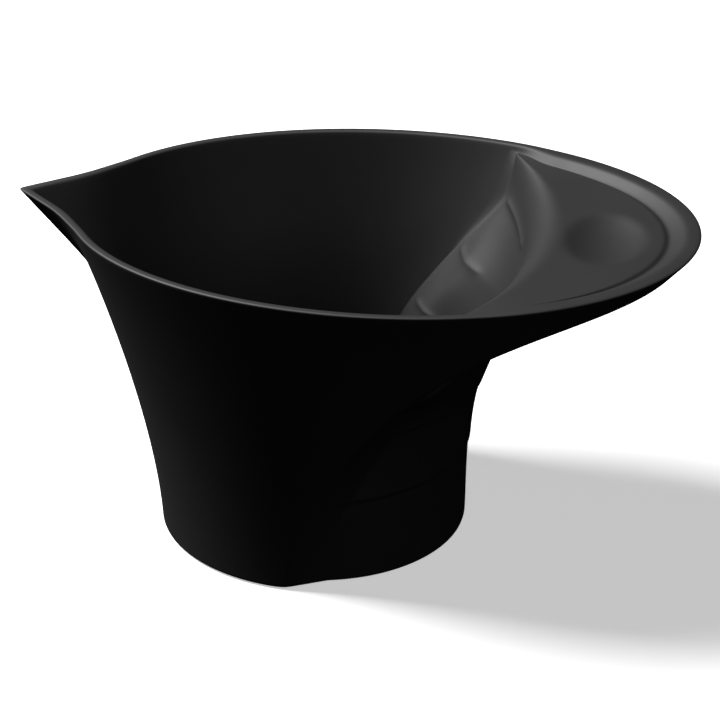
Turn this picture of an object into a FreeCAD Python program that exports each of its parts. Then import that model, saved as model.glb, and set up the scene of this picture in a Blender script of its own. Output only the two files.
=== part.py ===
import FreeCAD, Part
import math
import os

# A salon tint bowl moulded in one piece, with a pouring spout at -X and a thumb handle at +X, on a
# soft non-slip ring. The bowl is mirror-symmetric about the XZ plane. Its body is a tulip-shaped
# flare. Under the handle the flare is cut away to a round grip wall, so that fingers reach below
# the thumb platform. Origin: centre of the footprint box, on the surface the bowl stands on.

SIZES = [
    # overall form, millimetres
    ("bowl_height", 82.7, "standing surface to rim"),
    ("rim_half_length", 76.7, "half length of the rim ellipse"),
    ("rim_half_width", 56.4, "half width of the rim ellipse"),
    ("foot_radius", 41.1, "half width of the flare at its foot"),
    ("foot_centre", -7.8, "flare centre at its foot along X"),
    ("flare_power", 1.55, "how late the flare opens with height"),
    ("wall", 1.8, "wall thickness of the body"),
    ("rim_thickness", 2.3, "wall thickness at the rim"),
    ("floor_thickness", 2.4, "floor of the bowl"),
    ("ring_stand", 0.4, "gap under the moulded edge, held open by the ring"),
    # spout
    ("spout_overhang", 14.6, "tip of the spout beyond the rim ellipse"),
    ("spout_root_setback", 19.4, "lowest point of the spout trough, in from the rim ellipse"),
    ("spout_depth", 37.2, "that point below the rim"),
    ("spout_back_setback", 9.4, "where the spout edges end, in from the rim ellipse"),
    ("spout_back_half_width", 22.0, "half width there"),
    # edge of the skirt, a curve in side view from the foot to the tip of the handle
    ("skirt_foot_x", -8.9, "where the skirt edge leaves the foot"),
    ("skirt_rise_x", -0.2, "first handle of the curve, X"),
    ("skirt_rise_height", 33.7, "first handle of the curve, height"),
    ("skirt_level_x", 19.5, "second handle of the curve, X"),
    ("flange_depth", 5.2, "depth of the handle's flange below the rim"),
    ("edge_land", 0.5, "flat land on the skirt edge, before the slanted step begins"),
    ("step_length", 16.0, "length of the slanted step behind the skirt edge"),
    ("step_foot_angle", 36.0, "slant of the step at the foot, degrees from X"),
    ("step_top_angle", 60.0, "slant of the step where it runs out"),
    ("step_top_height", 57.0, "height where the step runs out"),
    # grip wall
    ("grip_foot_inset", 4.2, "grip wall radius at the foot, less than the foot radius by this"),
    ("grip_foot_setback", 4.8, "grip wall in from the flare's foot along X"),
    ("platform_length", 38.5, "platform and bead, from the grip wall's lip to the handle tip"),
    ("line_step", 0.5, "step of the wall at each filling line"),
    # platform
    ("platform_drop", 1.7, "platform below the rim"),
    ("bead_width", 6.2, "flat bead around the platform at the handle tip"),
    ("platform_edge_round", 4.5, "rounding from the platform into the bowl"),
    ("dimple_setback", 22.9, "thumb dimple centre, in from the handle tip"),
    ("dimple_half_length", 9.5, "thumb dimple along X"),
    ("dimple_half_width", 15.0, "thumb dimple along Y"),
    ("dimple_depth", 2.0, "depth of the thumb dimple"),
    # soft ring pressed into a groove under the floor
    ("ring_land", 5.9, "land of the foot outside the ring"),
    ("ring_width", 5.0, "width of the ring"),
    ("ring_seat_depth", 1.0, "depth of its groove"),
]

# Stations of the grip wall above the foot: share of the bowl height, radius, and share of the way
# along X from the foot of the wall to its lip. The four filling lines are the stations marked True.
GRIP_STATIONS = [
    ("line_1", 0.277, 39.0, 0.047, True),
    ("line_2", 0.496, 41.3, 0.229, True),
    ("turn", 0.559, 43.8, 0.347, False),
    ("spread", 0.625, 59.5, 0.459, False),
    ("line_3", 0.686, 80.0, 0.582, True),
    ("line_4", 0.850, 104.0, 0.894, True),
    ("lip", 0.925, 108.0, 1.0, False),
]

# Shares of the height at which the flare is drawn between its foot and its top, and the share
# above the rim where its inside ends, so that it opens the rim cleanly.
FLARE_SHARES = (0.15, 0.3, 0.45, 0.6, 0.75, 0.9)
OVER_RIM = 1.05

# Shares of the skirt edge at which the slanted step is drawn, from the foot to where it runs out,
# how much of its length it loses there, and how late it loses it.
STEP_SECTIONS = (0.0, 0.2, 0.4, 0.6, 0.8, 1.0)
STEP_LOSS = 0.5
STEP_LOSS_POWER = 4

# Size of the spout's hollow beside its outside, from the root up, so that it opens the rim cleanly.
SPOUT_OVER_RIM = 1.1

doc = FreeCAD.newDocument("hair_colour_bowl")
sheet = doc.addObject("Spreadsheet::Sheet", "Sizes")
row = 0


def write_size(name, value, note):
    """One line of the sheet: a plain number with its name as alias and a note beside it."""
    global row
    row += 1
    sheet.set(f"A{row}", note)
    sheet.set(f"B{row}", str(value))
    sheet.setAlias(f"B{row}", name)


for entry in SIZES:
    write_size(*entry)
for station, share, radius, way, _ in GRIP_STATIONS:
    write_size(f"{station}_share", share, f"height of {station} as a share of the bowl height")
    write_size(f"{station}_radius", radius, f"grip wall radius at {station}")
    write_size(f"{station}_way", way, f"share of the way from the wall's foot to its lip at {station}")
doc.recompute()

# Places worked out from the sizes. The spout's overhang puts the middle of the rim ellipse half of
# itself from the origin, which keeps the origin in the middle of the footprint box.
RIM_CENTRE = "(Sizes.spout_overhang / 2)"
HANDLE_TIP = f"({RIM_CENTRE} + Sizes.rim_half_length)"
GRIP_FOOT_RADIUS = "(Sizes.foot_radius - Sizes.grip_foot_inset)"
GRIP_FOOT_REACH = "(Sizes.foot_centre + Sizes.foot_radius - Sizes.grip_foot_setback)"
LIP_REACH = f"({HANDLE_TIP} - Sizes.platform_length)"
RING_OUTER_RADIUS = f"({GRIP_FOOT_RADIUS} - Sizes.ring_land)"


def size(name):
    """A driving dimension read back from the sheet."""
    return float(sheet.get(name))


def rim_centre():
    """Middle of the rim ellipse along X, as in RIM_CENTRE."""
    return size("spout_overhang") / 2


def bind(obj, **expressions):
    """Bind properties to expressions; a double underscore stands for a dot in the path."""
    for path, expression in expressions.items():
        obj.setExpression(path.replace("__", "."), expression)
    return obj


def at(obj, x="0", z="0"):
    """Bind the place of an object along X and Z."""
    return bind(obj, Placement__Base__x=x, Placement__Base__z=z)


def boolean(kind, name, *parts):
    """A boolean of document objects: Cut and Common take two, MultiFuse takes any number."""
    obj = doc.addObject(f"Part::{kind}", name)
    if kind == "MultiFuse":
        obj.Shapes = list(parts)
    else:
        obj.Base, obj.Tool = parts
    return obj


def loft(name, sections, ruled=False):
    obj = doc.addObject("Part::Loft", name)
    obj.Sections = sections
    obj.Solid = True
    obj.Ruled = ruled
    return obj


# ---------------------------------------------------------------- flared body
def flare(name, inset_foot, inset_rim, shares):
    """Tulip flare: horizontal ellipses whose centre and half sizes go from foot to rim.

    The change follows the share of the height raised to flare_power. Shares may be expressions."""
    rings = []
    for number, share in enumerate(shares):
        grown = f"({share})^Sizes.flare_power"
        inset = f"({inset_foot} + ({inset_rim} - {inset_foot}) * {grown})"
        ring = doc.addObject("Part::Ellipse", f"{name}_ring_{number}")
        for path, half in (("MajorRadius", "rim_half_length"), ("MinorRadius", "rim_half_width")):
            spread = f"Sizes.foot_radius + (Sizes.{half} - Sizes.foot_radius) * {grown}"
            ring.setExpression(path, f"{spread} - {inset}")
        at(
            ring,
            x=f"Sizes.foot_centre + ({RIM_CENTRE} - Sizes.foot_centre) * {grown}",
            z=f"Sizes.ring_stand + (Sizes.bowl_height - Sizes.ring_stand) * {share}",
        )
        rings.append(ring)
    return loft(name, rings)


def grown_share(height):
    """Share of the flare's opening reached at a height."""
    stand = size("ring_stand")
    return ((height - stand) / (size("bowl_height") - stand)) ** size("flare_power")


def flare_half_width(x, height):
    """Half width in Y of the outer flare at a given X and height."""
    grown = grown_share(max(height, size("ring_stand")))
    centre = size("foot_centre") + (rim_centre() - size("foot_centre")) * grown
    half_x = size("foot_radius") + (size("rim_half_length") - size("foot_radius")) * grown
    half_y = size("foot_radius") + (size("rim_half_width") - size("foot_radius")) * grown
    return half_y * math.sqrt(1.0 - ((x - centre) / half_x) ** 2)


floor_share = "Sizes.floor_thickness / (Sizes.bowl_height - Sizes.ring_stand)"
flare_outside = flare("flare_outside", "0", "0", (0.0,) + FLARE_SHARES + (1.0,))
flare_inside = flare(
    "flare_inside", "Sizes.wall", "Sizes.rim_thickness", (floor_share,) + FLARE_SHARES + (OVER_RIM,)
)


# ---------------------------------------------------------------- edge of the skirt
def skirt_edge():
    """Cubic curve in side view: steep at the foot, level at the tip of the handle."""
    handle_tip = rim_centre() + size("rim_half_length")
    flange = size("bowl_height") - size("flange_depth")
    curve = Part.BezierCurve()
    curve.setPoles([
        FreeCAD.Vector(size("skirt_foot_x"), 0, 0),
        FreeCAD.Vector(size("skirt_rise_x"), 0, size("skirt_rise_height")),
        FreeCAD.Vector(size("skirt_level_x"), 0, flange),
        FreeCAD.Vector(handle_tip, 0, flange),
    ])
    return curve


def above_skirt_edge():
    """Everything above and left of the skirt edge, right across the bowl."""
    edge = skirt_edge()
    margin = 2 * size("rim_half_length")
    start, end = edge.value(0.0), edge.value(1.0)
    top = FreeCAD.Vector(0, 0, margin)
    corners = [
        end,
        end + FreeCAD.Vector(margin, 0, 0),
        end + FreeCAD.Vector(margin, 0, 0) + top,
        FreeCAD.Vector(-margin, 0, end.z) + top,
        FreeCAD.Vector(-margin, 0, start.z),
        start,
    ]
    sides = [Part.LineSegment(a, b).toShape() for a, b in zip(corners, corners[1:])]
    outline = Part.Face(Part.Wire([edge.toShape()] + sides))
    outline.translate(FreeCAD.Vector(0, -margin, 0))
    return outline.extrude(FreeCAD.Vector(0, 2 * margin, 0))


# ---------------------------------------------------------------- slanted step
def front_block(inset):
    """Body in front of the slanted steps: a loft of six-sided plan sections.

    Each section's slanted sides start at the skirt edge on the flare and run inwards, at an angle
    that opens with height, until they are well inside the grip wall."""
    edge = skirt_edge()
    top = size("step_top_height")
    far = 2 * size("rim_half_length")
    level = Part.Plane(FreeCAD.Vector(0, 0, top), FreeCAD.Vector(0, 0, 1))
    crossing = edge.intersect(level)[0][0]
    run_out = edge.parameter(FreeCAD.Vector(crossing.X, crossing.Y, crossing.Z))
    sections = []
    for share in STEP_SECTIONS:
        point = edge.value(run_out * share)
        rise = point.z / top
        opening = (size("step_top_angle") - size("step_foot_angle")) * rise
        angle = math.radians(size("step_foot_angle") + opening)
        inward = FreeCAD.Vector(math.cos(angle), -math.sin(angle), 0)
        forward = FreeCAD.Vector(-math.sin(angle), -math.cos(angle), 0)
        start = FreeCAD.Vector(point.x, flare_half_width(point.x, point.z), point.z)
        start += forward * (size("edge_land") + inset)
        inner = start + inward * size("step_length") * (1 - STEP_LOSS * rise ** STEP_LOSS_POWER)
        outer = start - inward * size("step_length")
        side = [inner, outer, FreeCAD.Vector(-far, outer.y, outer.z)]
        mirrored = [FreeCAD.Vector(p.x, -p.y, p.z) for p in reversed(side)]
        sections.append(Part.makePolygon(side + mirrored + side[:1]))
    return Part.makeLoft(sections, True)


def solid_feature(name, shape):
    """A solid that no primitive gives, kept as a feature of its own."""
    obj = doc.addObject("Part::Feature", name)
    obj.Shape = shape
    return obj


# ---------------------------------------------------------------- grip wall
def grip_circle(name, radius, reach, height, inset, offset):
    """Horizontal circle whose furthest X is the reach, moved in by the inset and out by the offset.

    It starts at its far -X side, so that the seam of the loft lies outside the bowl."""
    circle = doc.addObject("Part::Circle", name)
    circle.Placement.Rotation = FreeCAD.Rotation(FreeCAD.Vector(0, 0, 1), 180)
    bind(circle, Radius=f"{radius} - {inset} + {offset}")
    return at(circle, x=f"{reach} - {radius}", z=height)


def grip_wall(name, inset):
    """Round wall that widens to a shallow arc, with a small step outwards at each filling line."""
    shift = "Sizes.line_step / 2"
    platform = "Sizes.bowl_height - Sizes.platform_drop"
    circles = [
        grip_circle(f"{name}_foot", GRIP_FOOT_RADIUS, GRIP_FOOT_REACH, "0", inset, "0")
    ]
    segments = []
    for station, _, _, _, is_line in GRIP_STATIONS:
        radius = f"Sizes.{station}_radius"
        reach = f"({GRIP_FOOT_REACH} + ({LIP_REACH} - {GRIP_FOOT_REACH}) * Sizes.{station}_way)"
        height = f"Sizes.{station}_share * Sizes.bowl_height"
        if is_line:
            below = grip_circle(f"{name}_{station}_below", radius, reach, height, inset, f"-{shift}")
            segments.append(loft(f"{name}_under_{station}", circles + [below]))
            circles = [grip_circle(f"{name}_{station}_above", radius, reach, height, inset, shift)]
        else:
            circles.append(grip_circle(f"{name}_{station}", radius, reach, height, inset, "0"))
    opened = "Sizes.platform_edge_round"
    edge = grip_circle(f"{name}_edge", "Sizes.lip_radius", LIP_REACH, platform, inset, opened)
    segments.append(loft(f"{name}_to_platform", circles + [edge]))
    return boolean("MultiFuse", name, *segments)


# ---------------------------------------------------------------- spout
def spout_wedge(inset):
    """Pointed trough: a wedge from its edges at the rim down to its lowest point in the wall."""
    rim = size("bowl_height")
    half_width = size("spout_back_half_width")
    half_angle = math.atan2(half_width, size("spout_overhang") + size("spout_back_setback"))
    front = rim_centre() - size("rim_half_length") + inset / math.sin(half_angle)
    back = front + size("spout_back_setback")
    over = SPOUT_OVER_RIM if inset else 1.0
    root = FreeCAD.Vector(front + size("spout_root_setback"), 0, rim - size("spout_depth"))
    corners = [
        FreeCAD.Vector(front - size("spout_overhang"), 0, rim),
        FreeCAD.Vector(back, half_width, rim),
        FreeCAD.Vector(back, -half_width, rim),
    ]
    corners = [root + (corner - root) * over for corner in corners]
    faces = [Part.Face(Part.makePolygon(corners + corners[:1]))]
    for a, b in zip(corners, corners[1:] + corners[:1]):
        faces.append(Part.Face(Part.makePolygon([root, a, b, root])))
    return Part.makeSolid(Part.makeShell(faces))


# ---------------------------------------------------------------- pieces put together
def ellipsoid(name, grow):
    """Ellipsoid whose cap below the platform is the thumb dimple, grown by a wall if asked.

    Its centre stands above the platform by twice the dimple's depth."""
    widen = "1 / sqrt(1 - (2 / 3)^2)"
    obj = doc.addObject("Part::Ellipsoid", name)
    bind(
        obj,
        Radius1=f"Sizes.dimple_depth * 3 + {grow}",
        Radius2=f"Sizes.dimple_half_length * {widen} + {grow}",
        Radius3=f"Sizes.dimple_half_width * {widen} + {grow}",
    )
    return at(
        obj,
        x=f"{HANDLE_TIP} - Sizes.dimple_setback",
        z="Sizes.bowl_height - Sizes.platform_drop + Sizes.dimple_depth * 2",
    )


def wide_box(name, bottom, top, end="Sizes.rim_half_length * 2"):
    """Box wider than the bowl between two heights, from beyond the spout to an end along X."""
    obj = doc.addObject("Part::Box", name)
    bind(
        obj,
        Length=f"Sizes.rim_half_length * 2 + {end}",
        Width="Sizes.rim_half_length * 4",
        Height=f"{top} - ({bottom})",
        Placement__Base__x="-Sizes.rim_half_length * 2",
        Placement__Base__y="-Sizes.rim_half_length * 2",
        Placement__Base__z=bottom,
    )
    return obj


def tray():
    """Shallow tray above the platform, inside the flat bead, which narrows to the rim at the sides."""
    outline = doc.addObject("Part::Ellipse", "tray_outline")
    bind(
        outline,
        MajorRadius="Sizes.rim_half_length - Sizes.bead_width",
        MinorRadius="Sizes.rim_half_width - Sizes.rim_thickness",
    )
    at(outline, x=RIM_CENTRE, z="Sizes.bowl_height - Sizes.platform_drop")
    obj = doc.addObject("Part::Extrusion", "tray")
    obj.Base = outline
    obj.DirMode = "Custom"
    obj.Dir = FreeCAD.Vector(0, 0, 1)
    obj.Solid = True
    return bind(obj, LengthFwd="Sizes.platform_drop * 2")


def ring_cylinder(name, radius):
    """Cylinder of the soft ring's height, on the middle of the foot."""
    obj = doc.addObject("Part::Cylinder", name)
    bind(obj, Radius=radius, Height="Sizes.ring_stand + Sizes.ring_seat_depth")
    return at(obj, x=f"{GRIP_FOOT_REACH} - {GRIP_FOOT_RADIUS}")


def ring_tube(name):
    """The space that the soft ring fills."""
    return boolean(
        "Cut",
        name,
        ring_cylinder(f"{name}_outer", RING_OUTER_RADIUS),
        ring_cylinder(f"{name}_inner", f"{RING_OUTER_RADIUS} - Sizes.ring_width"),
    )


def bowl_shell():
    """The moulded bowl: what lies outside, less everything hollow."""
    body_outside = boolean(
        "MultiFuse",
        "body_outside",
        grip_wall("grip_outside", "0"),
        solid_feature("block_outside", front_block(0.0)),
    )
    body_inside = boolean(
        "MultiFuse",
        "body_inside",
        grip_wall("grip_inside", "Sizes.wall"),
        solid_feature("block_inside", front_block(size("wall"))),
    )
    underside = "Sizes.bowl_height - Sizes.platform_drop - Sizes.wall"
    below_platform = wide_box("below_platform", "0", underside)
    finger_space = boolean("Common", "finger_space", flare_inside, below_platform)
    above_edge = solid_feature("above_skirt_edge", above_skirt_edge())
    handle_region = boolean("Cut", "handle_region", above_edge, finger_space)
    kept = boolean("MultiFuse", "kept_region", body_outside, handle_region)
    opened = boolean("Common", "opened_handle", flare_outside, kept)

    under_tray = wide_box("under_tray", "0", "Sizes.bowl_height - Sizes.platform_drop / 2")
    boss = boolean("Common", "dimple_boss", ellipsoid("dimple_outside", "Sizes.wall"), under_tray)
    spout = solid_feature("spout_outside", spout_wedge(0.0))
    full = boolean("MultiFuse", "full_form", opened, boss, spout)

    platform = "Sizes.bowl_height - Sizes.platform_drop"
    front_half = wide_box("front_half", platform, "Sizes.bowl_height * 2", RIM_CENTRE)
    hollows = boolean(
        "MultiFuse",
        "hollows",
        boolean("Common", "cavity", flare_inside, body_inside),
        boolean("Common", "mouth", flare_inside, front_half),
        solid_feature("spout_inside", spout_wedge(size("rim_thickness"))),
        tray(),
        ellipsoid("dimple_inside", "0"),
        ring_tube("ring_groove"),
    )
    return boolean("Cut", "bowl_shell", full, hollows)


PIECES = {"bowl_shell": bowl_shell(), "non_slip_foot_ring": ring_tube("non_slip_foot_ring")}
doc.recompute()

for obj in doc.Objects:
    if "Invalid" in obj.State or "Error" in obj.State:
        raise RuntimeError(f"{obj.Name} failed to build: {obj.State}")
for label, piece in PIECES.items():
    shape = piece.Shape
    if shape.isNull() or not shape.isValid() or len(shape.Solids) != 1:
        raise RuntimeError(f"{label} is not one valid solid")

os.makedirs("parts", exist_ok=True)
for label, piece in PIECES.items():
    piece.Shape.exportStep(f"parts/{label}.step")
    box = piece.Shape.optimalBoundingBox()
    print(
        f"{label}: X {box.XMin:.2f}..{box.XMax:.2f}, Y {box.YMin:.2f}..{box.YMax:.2f}, "
        f"Z {box.ZMin:.2f}..{box.ZMax:.2f}, volume {piece.Shape.Volume / 1000:.2f} ml"
    )
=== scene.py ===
import bmesh
import bpy
import numpy as np
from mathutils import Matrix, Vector


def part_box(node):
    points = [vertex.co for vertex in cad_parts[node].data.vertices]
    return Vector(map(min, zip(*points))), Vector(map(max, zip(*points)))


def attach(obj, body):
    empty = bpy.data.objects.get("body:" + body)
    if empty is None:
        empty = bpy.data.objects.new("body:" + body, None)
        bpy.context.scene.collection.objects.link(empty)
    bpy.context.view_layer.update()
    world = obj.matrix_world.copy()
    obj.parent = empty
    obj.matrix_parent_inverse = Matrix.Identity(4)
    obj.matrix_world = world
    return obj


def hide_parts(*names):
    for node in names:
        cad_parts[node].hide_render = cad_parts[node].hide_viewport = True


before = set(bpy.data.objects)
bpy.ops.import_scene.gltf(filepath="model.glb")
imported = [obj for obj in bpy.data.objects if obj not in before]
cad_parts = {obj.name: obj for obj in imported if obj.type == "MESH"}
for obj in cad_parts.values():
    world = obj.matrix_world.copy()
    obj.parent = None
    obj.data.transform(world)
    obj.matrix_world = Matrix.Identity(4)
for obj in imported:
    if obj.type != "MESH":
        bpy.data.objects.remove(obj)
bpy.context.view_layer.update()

# A salon tint bowl moulded in one piece from black polypropylene, on a soft non-slip ring. The spout
# is at -X, the handle with its thumb platform at +X. Shapes are worked out in millimetres for the
# +Y half, mirrored, and scaled to metres at the end.
MM = 0.001

# ---------------------------------------------------------------- sizes, in millimetres
shell_low, shell_high = (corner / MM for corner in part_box("bowl_shell"))
ring_low, ring_high = (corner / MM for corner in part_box("non_slip_foot_ring"))

RIM = shell_high.z
STAND = shell_low.z
HANDLE_TIP = shell_high.x
SPOUT_TIP = shell_low.x
RIM_HALF_WIDTH = shell_high.y
SPOUT_OVERHANG = 14.6
RIM_CENTRE = (HANDLE_TIP + SPOUT_TIP + SPOUT_OVERHANG) / 2
RIM_HALF_LENGTH = HANDLE_TIP - RIM_CENTRE
FOOT_RADIUS = 41.1
FOOT_CENTRE = -7.8
FLARE_POWER = 1.55
WALL = 1.8
RIM_THICKNESS = 2.3
FLOOR = STAND + 2.4

SPOUT_DEPTH = 37.2
SPOUT_ROOT_X = RIM_CENTRE - RIM_HALF_LENGTH + 19.4
SPOUT_BACK_SETBACK = 9.4
SPOUT_BACK_HALF_WIDTH = 22.0
SPOUT_TIP_ROUND = 0.5
SPOUT_BLEND = 6.0
SPOUT_TURN_START = 0.8 * SPOUT_BACK_HALF_WIDTH
SPOUT_TURN = 0.05

FLANGE = RIM - 5.2
SKIRT_CURVE = np.array([(-8.9, STAND), (-0.2, 33.7), (19.5, FLANGE), (HANDLE_TIP, FLANGE)])
SKIRT_EDGE_ROUND = 0.5
RUN_OUT = 55.6
FLANGE_THIN = 0.6
FLANGE_THICKENING = 8.0
CORNER_HEIGHTS = np.array([0.0, 22.9, 37.0, 41.0, 46.2, 51.7])
CORNER_ANGLES = np.radians([75.9, 66.5, 54.9, 51.7, 48.7, 39.8])

FILLING_LINES = RIM * np.array([0.277, 0.496, 0.686, 0.850])
LINE_STEP = 0.5
LINE_FADE = 3.0
WALL_HEIGHTS = np.array([0.0, 22.9, 41.0, 46.2, 51.7, 56.7, 70.3, 76.5, 81.0])
WALL_RADII = np.array([36.9, 39.0, 41.3, 43.8, 59.5, 80.0, 104.0, 108.0, 110.0])
WALL_REACHES = np.array([28.5, 29.3, 32.4, 34.4, 36.3, 38.4, 43.7, 45.5, 46.5])

# Inside, the grip wall is a round nose between two flat shoulders that run out to the flare: where
# they meet the flare, the nose's radius and reach, how far a shoulder goes along X for each
# millimetre of Y, and how much of the way in to the middle it takes.
MEETING_HEIGHTS = np.array([0.0, 20.0, 37.4, 50.0, 60.0, 66.0, 70.0, 76.0, 82.7])
MEETING_PLACES = np.array([-9.4, -1.6, 5.8, 14.7, 22.8, 28.3, 31.4, 32.6, 33.2])
NOSE_HEIGHTS = np.array([0.0, 22.9, 41.0, 51.7, 56.7, 64.0, 70.3, 81.0])
NOSE_RADII = np.array([35.0, 37.2, 39.5, 41.0, 46.0, 75.0, 115.0, 125.0])
NOSE_REACHES = np.array([26.7, 27.5, 30.6, 34.5, 36.2, 38.6, 40.5, 43.4])
SHOULDER_HEIGHTS = np.array([0.0, 22.9, 37.0, 44.0, 57.6, 69.4, 81.0])
SHOULDER_SLOPES = np.array([1.78, 0.9, 0.6, 0.42, 0.27, 0.20, 0.18])
SHOULDER_SHARES = np.array([0.16, 0.24, 0.30, 0.38, 0.56, 0.85, 0.90])
SHOULDER_BLEND = 3.0
SHOULDER_END_BLEND = 4.0
LEAST_BLEND = 0.05
NOSE_END_SLOPE = 9.0
# Raised marks at the filling lines, on the shoulders: where each starts, as a share of the way
# from the middle of the wall out to the flare.
MARK_STARTS = np.array([0.76, 0.68, 0.58, 0.30])
MARK_END = 0.97
MARK_TAPER = 0.06
MARK_HEIGHT = 0.6
MARK_HALF_WIDTH = 0.9

PLATFORM = RIM - 1.7
UNDERSIDE = PLATFORM - WALL
LIP_START = 74.0
LIP_SHARE = 0.16
BEAD_EXTRA = 2.1
GROOVE_SHARE = 1.75
BEAD_TAPER = 0.15
RIM_ROUND = 0.45
GROOVE_DEPTH = 0.5
DIMPLE_X = HANDLE_TIP - 22.9
DIMPLE_HALF_LENGTH = 9.5
DIMPLE_HALF_WIDTH = 15.0
DIMPLE_DEPTH = 2.2

RING_OUTER = ring_high.y
RING_CENTRE = (ring_low.x + ring_high.x) / 2
RING_WIDTH = 5.0
RING_TOP = ring_high.z
SEAT_EDGE = 0.4
FOOT_EDGE_SHARE = 0.14
FLOOR_RISE_HEIGHT = 20.0

HANDLE_COLUMNS = 34
FRONT_COLUMNS = 44
ROW_STEP = 3.0
LINE_CLEARANCE = 1.5
END_CLEARANCE = 0.3
EDGE_ROW = 1.2
FLARE_FIRST_ROW = 2.2
FLARE_LAST_ROW = 1.5
MIDDLE_ROWS = 14


# ---------------------------------------------------------------- curves and surfaces
def through(at, stations, values):
    """Smooth curve through stations: cubic pieces whose end slopes are the stations' mean slopes."""
    slopes = np.gradient(values, stations)
    i = np.clip(np.searchsorted(stations, at) - 1, 0, len(stations) - 2)
    step = stations[i + 1] - stations[i]
    t = (at - stations[i]) / step
    return (
        values[i] * (1 + 2 * t) * (1 - t) ** 2
        + values[i + 1] * t * t * (3 - 2 * t)
        + step * (slopes[i] * t * (1 - t) ** 2 - slopes[i + 1] * t * t * (1 - t))
    )


def smooth_step(t):
    """Goes from 0 to 1 with level ends: 3t^2 - 2t^3."""
    t = np.clip(t, 0, 1)
    return t * t * (3 - 2 * t)


def smooth_min(a, b, blend):
    """The lower of two values, with a rounded change from one to the other over the blend."""
    h = np.clip(0.5 + 0.5 * (b - a) / blend, 0, 1)
    return b * (1 - h) + a * h - blend * h * (1 - h)


def opened(z):
    """How far the flare has opened at a height: the share of the height to a fixed power."""
    return np.clip((z - STAND) / (RIM - STAND), 0, None) ** FLARE_POWER


def flare_ellipse(z):
    """Centre and half sizes of the flare's horizontal ellipse, growing with how far it has opened."""
    grown = opened(z)
    centre = FOOT_CENTRE + (RIM_CENTRE - FOOT_CENTRE) * grown
    half_x = FOOT_RADIUS + (RIM_HALF_LENGTH - FOOT_RADIUS) * grown
    half_y = FOOT_RADIUS + (RIM_HALF_WIDTH - FOOT_RADIUS) * grown
    return centre, half_x, half_y


def spout_front(y, z, inset):
    """X of the spout's V at a distance from the middle: its keel's X plus that distance over the
    tangent of its half angle, rounded at the keel and turned back beyond the spout's width."""
    tangent = SPOUT_BACK_HALF_WIDTH / (SPOUT_OVERHANG + SPOUT_BACK_SETBACK)
    shift = inset / np.sin(np.arctan(tangent))
    keel = SPOUT_TIP + (SPOUT_ROOT_X - SPOUT_TIP) * (RIM - z) / SPOUT_DEPTH
    aside = np.sqrt(y * y + SPOUT_TIP_ROUND**2) - SPOUT_TIP_ROUND
    beyond = np.clip(np.abs(y) - SPOUT_TURN_START, 0, None)
    return keel + shift + aside / tangent + SPOUT_TURN * beyond**2


def flare(angle, z, inset=0.0):
    """Point of the flare: its ellipse at that height moved in by the inset, joined to the spout."""
    centre, half_x, half_y = flare_ellipse(z)
    x = centre + (half_x - inset) * np.cos(angle)
    y = (half_y - inset) * np.sin(angle)
    joined = smooth_min(x, spout_front(y, z, inset), SPOUT_BLEND)
    x = np.where(np.cos(angle) < -0.2, joined, x)
    return np.stack(np.broadcast_arrays(x, y, z), -1)


def inner_inset(z):
    """Wall thickness of the flare, from the body's wall to the rim's."""
    return WALL + (RIM_THICKNESS - WALL) * opened(z)


def under_inset(z):
    """Thickness of the flange under the handle: thin where the step runs out, then a full wall."""
    return FLANGE_THIN + (inner_inset(z) - FLANGE_THIN) * smooth_step((z - RUN_OUT) / FLANGE_THICKENING)


def ledge(z):
    """Offset of the grip wall near a filling line: half a step in below it and out above it."""
    away = np.asarray(z)[..., None] - FILLING_LINES
    return (LINE_STEP / 2 * np.sign(away) * np.exp(-np.abs(away) / LINE_FADE)).sum(-1)


def grip_circle(z, inset):
    """Centre X and radius of the round grip wall at a height, moved in by the inset."""
    radius = 1 / through(z, WALL_HEIGHTS, 1 / WALL_RADII)
    centre = through(z, WALL_HEIGHTS, WALL_REACHES) - radius
    return centre, radius + ledge(z) - inset


def grip(angle, z, inset=0.0):
    """Point of the round grip wall at an angle round its own centre."""
    centre, radius = grip_circle(z, inset)
    x = centre + radius * np.cos(angle)
    y = radius * np.sin(angle)
    return np.stack(np.broadcast_arrays(x, y, z), -1)


def recess(boundary, along):
    """Inside of the grip wall, rows at the boundary's heights and columns from the middle out to it.

    X is the larger of two, with a rounded change between them: the nose's circle, and the shoulder's
    line in from the boundary point, which ends after its share. The raised marks come off that."""
    x, y, z = (boundary[:, i, None] for i in range(3))
    aside = y * along
    radius = through(z, NOSE_HEIGHTS, NOSE_RADII)
    centre = through(z, NOSE_HEIGHTS, NOSE_REACHES) - radius
    nose = centre + np.sqrt(np.clip(radius**2 - aside**2, 0, None))
    nose = nose - NOSE_END_SLOPE * np.clip(aside - radius, 0, None)
    length = y * through(z, SHOULDER_HEIGHTS, SHOULDER_SHARES)
    run = smooth_min(y - aside, length, SHOULDER_END_BLEND)
    shoulder = x + through(z, SHOULDER_HEIGHTS, SHOULDER_SLOPES) * run
    blend = LEAST_BLEND + SHOULDER_BLEND * (1 - along**6)
    wall_x = -smooth_min(-nose, -shoulder, blend)
    for line, start in zip(FILLING_LINES, MARK_STARTS):
        raised = np.clip(1 - ((z - line) / MARK_HALF_WIDTH) ** 2, 0, 1)
        ends = smooth_step((along - start) / MARK_TAPER) * smooth_step((MARK_END - along) / MARK_TAPER)
        wall_x = wall_x - MARK_HEIGHT * raised * ends
    wall_x[:, -1] = x[:, 0]
    return np.stack(np.broadcast_arrays(wall_x, aside, z), -1)


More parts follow.
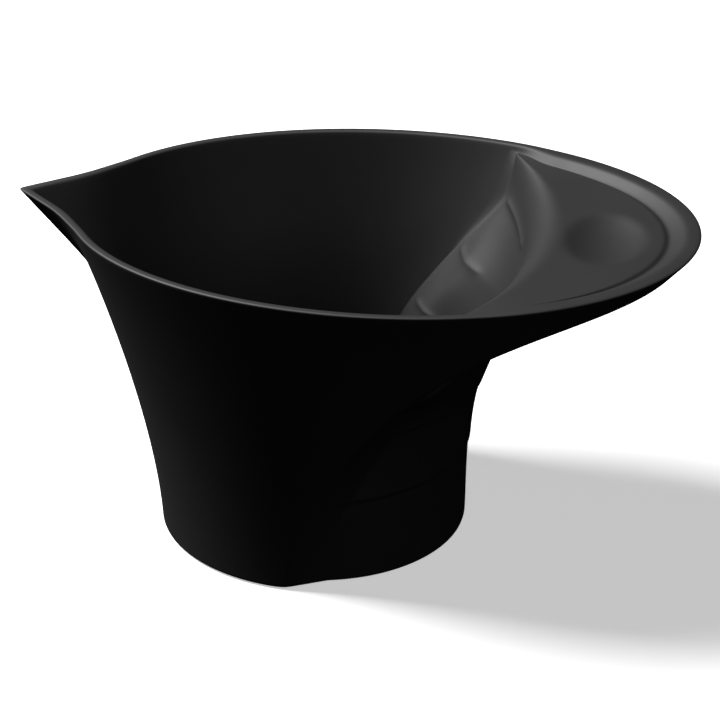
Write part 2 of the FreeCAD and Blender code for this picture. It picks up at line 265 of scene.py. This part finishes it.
def crossing(z, flare_inset):
    """Flare angle where the outside of the grip wall meets the flare, found by halving."""
    centre, radius = grip_circle(z, 0.0)
    low, high = np.full_like(z, np.radians(20)), np.full_like(z, np.radians(100))
    for _ in range(40):
        middle = (low + high) / 2
        point = flare(middle, z, flare_inset)
        outside = np.hypot(point[:, 0] - centre, point[:, 1]) > radius
        low, high = np.where(outside, middle, low), np.where(outside, high, middle)
    return (low + high) / 2


def meeting_angle(z):
    """Flare angle at which the inside of the grip wall meets the flare at each height."""
    centre, half_x, _ = flare_ellipse(z)
    return np.arccos((through(z, MEETING_HEIGHTS, MEETING_PLACES) - centre) / (half_x - inner_inset(z)))


def grip_angle(points, wall_inset):
    """Angle of points round the grip wall's centre at their heights."""
    centre, _ = grip_circle(points[:, 2], wall_inset)
    return np.arctan2(points[:, 1], points[:, 0] - centre)


def between(a, b, shares):
    """Grid of straight lines from the points a to the points b, one row for each share."""
    shares = np.asarray(shares, float).reshape(-1, *[1] * a.ndim)
    return a + (b - a) * shares


def heights(low, high):
    """Even heights, with close rows round each filling line in place of the even ones there."""
    even = np.linspace(low, high, int(round((high - low) / ROW_STEP)) + 1)
    clear = np.abs(even[:, None] - FILLING_LINES).min(1) > LINE_CLEARANCE
    clear[[0, -1]] = True
    half = LINE_STEP / 2
    near = (FILLING_LINES[:, None] + np.array([-4 * half, -half, half, 4 * half])).ravel()
    near = near[(near > low + END_CLEARANCE) & (near < high - END_CLEARANCE)]
    return np.sort(np.concatenate([even[clear], near]))


# ---------------------------------------------------------------- the bowl's control surface
def skirt_edge_table():
    """Heights along the skirt's edge, a cubic curve in side view, and the flare angles there."""
    t = np.linspace(0, 1, 800)[:, None]
    a, b, c, d = SKIRT_CURVE
    curve = a * (1 - t) ** 3 + 3 * b * t * (1 - t) ** 2 + 3 * c * t * t * (1 - t) + d * t**3
    centre, half_x, _ = flare_ellipse(curve[:, 1])
    share = (curve[:, 0] - centre) / half_x
    kept = share < 1
    return curve[kept, 1], np.arccos(share[kept])


def dimple(x, y):
    """Depth of the thumb dimple: a bowl-shaped hollow, 1 - r^2, that meets the platform at an edge."""
    away = np.hypot((x - DIMPLE_X) / DIMPLE_HALF_LENGTH, y / DIMPLE_HALF_WIDTH)
    return DIMPLE_DEPTH * np.clip(1 - away**2, 0, 1)


def front_angles(start):
    """Flare angles from the foot's corner to the spout's keel, closer together towards the keel."""
    share = np.linspace(0, 1, FRONT_COLUMNS + 1)[1:]
    return start + (np.pi - start) * (1 - (1 - share) ** 1.5)


def disc(outline, centre_x, z, shares):
    """Rows from an outline in to the middle of the floor, at one height."""
    middle = np.zeros_like(outline)
    middle[:, 0] = centre_x
    middle[:, 2] = z
    return between(outline, middle, shares)


def circle_row(outline, radius, z):
    """The outline's directions from the ring's centre, on a circle of the given radius."""
    away = outline[:, :2] - np.array([RING_CENTRE, 0.0])
    away = away / np.linalg.norm(away, axis=1, keepdims=True) * radius
    return np.column_stack([away[:, 0] + RING_CENTRE, away[:, 1], np.full(len(outline), z)])


def bowl_patches():
    """Grids of points that join edge to edge into the +Y half of the bowl's closed surface."""
    edge_z, edge_angle = skirt_edge_table()
    along = np.linspace(0, 1, HANDLE_COLUMNS + 1)
    lower = np.sort(np.append(heights(STAND, RUN_OUT), STAND + EDGE_ROW))
    down = lower[::-1]
    lower_in = lower + (FLOOR - STAND) * np.clip(1 - (lower - STAND) / FLOOR_RISE_HEIGHT, 0, None)
    down_in = lower_in[::-1]
    handle = slice(0, HANDLE_COLUMNS + 1)
    steps = slice(HANDLE_COLUMNS, HANDLE_COLUMNS + len(down))

    # outer flare: columns from the handle's tip along the skirt edge to the foot, then to the spout
    run_out_angle = np.interp(RUN_OUT, edge_z, edge_angle)
    handle_angles = along * run_out_angle
    handle_low = np.interp(handle_angles, edge_angle[::-1], edge_z[::-1])
    handle_low[-1] = RUN_OUT
    step_angles = np.interp(down, edge_z, edge_angle)
    angles = np.concatenate([handle_angles, step_angles[1:], front_angles(step_angles[-1])])
    low = np.concatenate([handle_low, down[1:], np.full(FRONT_COLUMNS, STAND)])
    start, end = low + FLARE_FIRST_ROW, np.full_like(low, RIM - FLARE_LAST_ROW)
    middle = between(start, end, np.linspace(0, 1, MIDDLE_ROWS))
    top = np.full_like(low, RIM - RIM_ROUND)
    rows = np.concatenate([[low, low + SKIRT_EDGE_ROUND], middle, [top]])
    outer = flare(angles[None], rows)

    # under the handle: the flange's inner side, from the crease with the grip wall to the tip
    upper = np.sort(np.append(heights(RUN_OUT, UNDERSIDE), UNDERSIDE - EDGE_ROW))
    crease = crossing(upper, under_inset(upper))
    rise = (upper - RUN_OUT) / (UNDERSIDE - RUN_OUT)
    flange_z = handle_low + (UNDERSIDE - handle_low) * rise[:, None]
    flange_angle = crease[:, None] * along
    flange = flare(flange_angle, flange_z, under_inset(flange_z))

    # grip wall outside: rows from the foot to the underside, columns from the middle to the side
    crease_side = grip_angle(flange[:, -1], 0.0)
    corner_heights = np.append(CORNER_HEIGHTS, RUN_OUT)
    corner = through(lower, corner_heights, np.append(CORNER_ANGLES, crease_side[0]))
    wall_z = np.concatenate([lower, upper[1:]])
    side = np.concatenate([corner, crease_side[1:]])
    wall = grip(side[:, None] * along, wall_z[:, None])

    # slanted step and flange bottom: from the sharp inner corner out to the skirt edge
    inner_edge = np.concatenate([flange[0], wall[: len(lower)][::-1][1:, -1]])
    outer_edge = outer[0, : len(inner_edge)]
    width = np.linalg.norm(outer_edge - inner_edge, axis=1)
    land = 1 - np.minimum(SKIRT_EDGE_ROUND, 0.35 * width) / width
    strip = np.stack([inner_edge + (outer_edge - inner_edge) * share[:, None] for share in (
        0 * land, 0.05 + 0 * land, 0.3 + 0 * land, 0.6 + 0 * land, land, 1 + 0 * land
    )])
    eased = 0.5 * outer_edge + 0.25 * (strip[-2] + outer[1, : len(inner_edge)])
    strip[-1] = eased
    outer[0, : len(inner_edge)] = eased

    # underside of the platform
    underside = between(wall[-1], flange[-1], np.linspace(0, 1, 12))
    underside[..., 2] -= dimple(underside[..., 0], underside[..., 1])
    underside[[0, -1]] = wall[-1], flange[-1]

    # foot: from its outline, past the ring's groove, to the middle
    outline = np.concatenate([wall[0], strip[1:, -1], outer[0, steps.stop :]])
    foot = np.stack([
        outline,
        outline + (circle_row(outline, RING_OUTER, STAND) - outline) * FOOT_EDGE_SHARE,
        circle_row(outline, RING_OUTER + SEAT_EDGE, STAND),
        circle_row(outline, RING_OUTER, STAND),
        circle_row(outline, RING_OUTER, RING_TOP),
        circle_row(outline, RING_OUTER - RING_WIDTH, RING_TOP),
        circle_row(outline, RING_OUTER - RING_WIDTH, STAND),
        circle_row(outline, RING_OUTER - RING_WIDTH - SEAT_EDGE, STAND),
        circle_row(outline, RING_OUTER * 0.4, STAND),
        circle_row(outline, 0.0, STAND),
    ])

    # inner flare: columns from the crease with the grip wall to the foot, then to the spout
    upper_in = heights(RUN_OUT, LIP_START)
    tall = np.concatenate([upper_in, [PLATFORM, RIM - RIM_ROUND]])
    crease_in = meeting_angle(tall)
    crease_in[-1] = crease_in[-2]
    boundary = meeting_angle(down_in)
    in_angles = np.concatenate([boundary, front_angles(boundary[-1])])
    in_low = np.concatenate([down_in, np.full(FRONT_COLUMNS, FLOOR)])
    climb = ((tall - RUN_OUT) / (PLATFORM - RUN_OUT))[:-1, None]
    in_z = np.concatenate([in_low + (PLATFORM - in_low) * climb, [np.full_like(in_low, tall[-1])]])
    all_angles = np.repeat(in_angles[None], len(tall), 0)
    all_angles[:, 0] = crease_in
    inner = flare(all_angles, in_z, inner_inset(in_z))

    # grip wall inside, out to the flare
    crease_in_side = grip_angle(inner[:-1, 0], WALL)
    wall_in = recess(np.concatenate([inner[0, : len(down_in)][::-1], inner[1:-2, 0]]), along)

    # rim: crowned from its outer to its inner edge, wider over the handle as a flat bead
    full = smooth_step((1 - along) / BEAD_TAPER)
    bead = BEAD_EXTRA * full
    rim_in_angles = np.concatenate([along * crease_in[-1], in_angles[1:]])
    bead_inset = np.concatenate([bead, np.zeros(len(in_angles) - 1)])
    share = ((1 - np.cos(np.linspace(0, np.pi, 9))) / 2)[:, None]
    rim_z = RIM - RIM_ROUND * np.abs(2 * share - 1) ** 6 * np.ones_like(angles)
    rim_out = flare(angles[None], rim_z)
    rim_inner = flare(rim_in_angles[None], rim_z, inner_inset(rim_z) + bead_inset)
    rim = rim_out + (rim_inner - rim_out) * share[..., None]

    # bead's inner side, the groove below it and the platform with its thumb dimple
    groove_inset = inner_inset(PLATFORM) + bead * GROOVE_SHARE
    groove = flare(along * crease_in[-1], np.full_like(along, PLATFORM), groove_inset)
    groove[:, 2] -= GROOVE_DEPTH * full
    bead_side = between(rim[-1, handle], groove, (0, 0.45, 1))
    lip = grip(crease_in_side[-1] * along, np.full_like(along, PLATFORM), WALL)
    lip[-1] = inner[-2, 0]
    groove[-1] = inner[-2, 0]
    bead_side[-1, -1] = inner[-2, 0]
    bead_side[0, -1] = inner[-1, 0]
    rim[-1, HANDLE_COLUMNS] = inner[-1, 0]
    inside = between(lip, groove, np.append(np.linspace(LIP_SHARE, 0.9, 15), [0.93, 0.955, 0.975]))
    inside[..., 2] = PLATFORM - dimple(inside[..., 0], inside[..., 1])
    inside[-1, :, 2] = groove[:, 2]
    curve = [
        wall_in[-1] * (1 - t) ** 2 + lip * 2 * t * (1 - t) + inside[0] * t * t
        for t in (0, 0.2, 0.4, 0.6, 0.8)
    ]
    platform = np.concatenate([curve, inside, [groove]])
    platform[1:, -1] = inner[-2, 0]
    bead_side[1, -1] = bead_side[-1, -1]

    # floor inside
    floor_outline = np.concatenate([wall_in[0], inner[0, len(down_in) :]])
    floor = disc(floor_outline, RING_CENTRE, FLOOR, (0, 0.05, 0.1, 0.3, 0.65, 1))

    return [
        outer, flange, wall, strip, underside, foot, inner, wall_in, rim, bead_side, platform, floor,
    ]


# ---------------------------------------------------------------- meshes
def add_object(name, mesh, material):
    """Smooth object with one material, at the origin, riding on the one body."""
    mesh.polygons.foreach_set("use_smooth", np.ones(len(mesh.polygons), bool))
    obj = bpy.data.objects.new(name, mesh)
    bpy.context.scene.collection.objects.link(obj)
    mesh.materials.append(material)
    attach(obj, "root")
    return obj


def grid_faces(rows, columns, first):
    """Quads of a grid whose points are numbered row by row from the first."""
    index = np.arange(rows * columns).reshape(rows, columns) + first
    return np.stack([index[:-1, :-1], index[:-1, 1:], index[1:, 1:], index[1:, :-1]], -1).reshape(-1, 4)


def joined_mesh(name, patches, weld=0.01):
    """The patches and their mirror images in one closed mesh, welded, in metres, facing outwards."""
    points = np.concatenate([patch.reshape(-1, 3) for patch in patches])
    faces, first = [], 0
    for patch in patches:
        faces.append(grid_faces(patch.shape[0], patch.shape[1], first))
        first += patch.shape[0] * patch.shape[1]
    faces = np.concatenate(faces)
    both = np.concatenate([points, points * (1, -1, 1)])
    mesh = bpy.data.meshes.new(name)
    mesh.from_pydata(both, [], np.concatenate([faces, faces[:, ::-1] + len(points)]))
    work = bmesh.new()
    work.from_mesh(mesh)
    bmesh.ops.remove_doubles(work, verts=work.verts, dist=weld)
    bmesh.ops.dissolve_degenerate(work, edges=work.edges, dist=weld / 10)
    bmesh.ops.recalc_face_normals(work, faces=work.faces)
    bmesh.ops.scale(work, vec=(MM, MM, MM), verts=work.verts)
    work.to_mesh(mesh)
    work.free()
    return mesh


# ---------------------------------------------------------------- materials
def linear(hex_colour):
    """sRGB hex colour as linear RGBA."""
    parts = [int(hex_colour[i : i + 2], 16) / 255 for i in (1, 3, 5)]
    return [c / 12.92 if c <= 0.04045 else ((c + 0.055) / 1.055) ** 2.4 for c in parts] + [1.0]


def node(material, kind, settings, **inputs):
    """One node, with its settings, and values or links for its inputs."""
    made = material.node_tree.nodes.new("ShaderNode" + kind)
    for name, value in settings.items():
        setattr(made, name, value)
    for name, value in inputs.items():
        socket = made.inputs[name.replace("_", " ")]
        if isinstance(value, bpy.types.NodeSocket):
            material.node_tree.links.new(value, socket)
        else:
            socket.default_value = value
    return made


def shader_of(material):
    material.use_nodes = True
    return material.node_tree.nodes["Principled BSDF"]


def moulded_polypropylene():
    """Black injection-moulded polypropylene: satin, very slightly uneven from the tool's polish and
    the flow of the melt, which gives soft, low highlights instead of a mirror's."""
    material = bpy.data.materials.new("moulded_black_polypropylene")
    shader = shader_of(material)
    shader.inputs["Base Color"].default_value = linear("#1e1e1f")
    shader.inputs["IOR"].default_value = 1.49
    links = material.node_tree.links
    place = node(material, "TexCoord", {}).outputs["Object"]
    # flow of the melt: broad unevenness about 18 mm across
    flow = node(material, "TexNoise", {}, Vector=place, Scale=1 / 0.018, Detail=2.0).outputs["Fac"]
    # fine spark-eroded grain of the tool, 0.35 mm, drawn coarser than the real 0.1 mm to show
    grain = node(material, "TexNoise", {}, Vector=place, Scale=1 / 0.00035, Detail=3.0).outputs["Fac"]
    rough = node(material, "MapRange", {}, Value=flow, To_Min=0.55, To_Max=0.65).outputs["Result"]
    links.new(rough, shader.inputs["Roughness"])
    bump = node(material, "Bump", {}, Height=grain, Strength=0.06, Distance=0.00005)
    links.new(bump.outputs["Normal"], shader.inputs["Normal"])
    return material


def foot_rubber():
    """Black thermoplastic rubber: matt, with a fine even grain that scatters all highlights."""
    material = bpy.data.materials.new("moulded_black_rubber")
    shader = shader_of(material)
    shader.inputs["Base Color"].default_value = linear("#161616")
    shader.inputs["IOR"].default_value = 1.5
    shader.inputs["Roughness"].default_value = 0.75
    place = node(material, "TexCoord", {}).outputs["Object"]
    grain = node(material, "TexNoise", {}, Vector=place, Scale=1 / 0.0004, Detail=3.0).outputs["Fac"]
    bump = node(material, "Bump", {}, Height=grain, Strength=0.3, Distance=0.00005)
    material.node_tree.links.new(bump.outputs["Normal"], shader.inputs["Normal"])
    return material


# ---------------------------------------------------------------- pieces
bowl = add_object("tint_bowl", joined_mesh("tint_bowl", bowl_patches()), moulded_polypropylene())
subdivision = bowl.modifiers.new("rounding", "SUBSURF")
subdivision.levels = subdivision.render_levels = 1
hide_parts("bowl_shell")


def ring_patch():
    """Half of the soft ring: a rounded rectangle, a superellipse of power 5, swept half round."""
    turn = np.linspace(0, 2 * np.pi, 33)[:, None]
    sweep = np.linspace(0, np.pi, 65)[None]
    across = np.sign(np.cos(turn)) * np.abs(np.cos(turn)) ** 0.4
    up = np.sign(np.sin(turn)) * np.abs(np.sin(turn)) ** 0.4
    radius = RING_OUTER - RING_WIDTH / 2 + across * RING_WIDTH / 2
    z = RING_TOP / 2 * (1 + up)
    x = RING_CENTRE + radius * np.cos(sweep)
    return np.stack(np.broadcast_arrays(x, radius * np.sin(sweep), z), -1)


ring = add_object("non_slip_ring", joined_mesh("non_slip_ring", [ring_patch()]), foot_rubber())
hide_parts("non_slip_foot_ring")

# ---------------------------------------------------------------- stage
def stage_material():
    """A pale matt floor that glows a little by itself, as a light table does: the shadow stays faint."""
    material = bpy.data.materials.new("matt_white_floor")
    shader = shader_of(material)
    shader.inputs["Base Color"].default_value = linear("#f4f4f4")
    shader.inputs["Roughness"].default_value = 0.9
    shader.inputs["Emission Color"].default_value = (1, 1, 1, 1)
    shader.inputs["Emission Strength"].default_value = 0.5
    return material


FLOOR_HALF = 4.0
floor_mesh = bpy.data.meshes.new("floor")
floor_corners = [(-FLOOR_HALF, -FLOOR_HALF, 0), (FLOOR_HALF, -FLOOR_HALF, 0)]
floor_corners += [(FLOOR_HALF, FLOOR_HALF, 0), (-FLOOR_HALF, FLOOR_HALF, 0)]
floor_mesh.from_pydata(floor_corners, [], [(0, 1, 2, 3)])
floor = bpy.data.objects.new("floor", floor_mesh)
floor_mesh.materials.append(stage_material())
bpy.context.scene.collection.objects.link(floor)
# a black bowl on black surroundings: neither the floor nor the backdrop lights or shows in it
floor.visible_glossy = floor.visible_diffuse = False


def area_light(name, place, size, power, aim=(0.0, 0.0, 0.05)):
    """Soft square light that faces a point."""
    light = bpy.data.lights.new(name, "AREA")
    light.size = size
    light.energy = power
    obj = bpy.data.objects.new(name, light)
    obj.location = place
    obj.rotation_euler = (Vector(aim) - Vector(place)).to_track_quat("-Z", "Y").to_euler()
    bpy.context.scene.collection.objects.link(obj)
    return obj


area_light("key_upper_left", (-0.95, 0.12, 1.3), 0.7, 54)
area_light("fill_front_right", (1.1, -1.3, 1.0), 1.2, 5)

world = bpy.data.worlds.new("studio")
world.use_nodes = True
world.node_tree.nodes["Background"].inputs["Color"].default_value = (1, 1, 1, 1)
world.node_tree.nodes["Background"].inputs["Strength"].default_value = 0.95
bpy.context.scene.world = world
world.cycles_visibility.diffuse = world.cycles_visibility.glossy = False
bpy.context.scene.view_settings.view_transform = "Standard"

# ---------------------------------------------------------------- camera
CAMERA_TARGET = Vector((5.86, -21.38, 54.10)) * MM
CAMERA_DISTANCE = 571.4 * MM
CAMERA_AZIMUTH = np.radians(10.74)
CAMERA_ELEVATION = np.radians(26.95)
camera_data = bpy.data.cameras.new("camera")
camera_data.lens = 120
camera_data.sensor_width = 36
camera = bpy.data.objects.new("camera", camera_data)
back = Vector((
    np.sin(CAMERA_AZIMUTH) * np.cos(CAMERA_ELEVATION),
    -np.cos(CAMERA_AZIMUTH) * np.cos(CAMERA_ELEVATION),
    np.sin(CAMERA_ELEVATION),
))
camera.location = CAMERA_TARGET + back * CAMERA_DISTANCE
camera.rotation_mode = "QUATERNION"
camera.rotation_quaternion = (-back).to_track_quat("-Z", "Y")
bpy.context.scene.collection.objects.link(camera)
bpy.context.scene.camera = camera
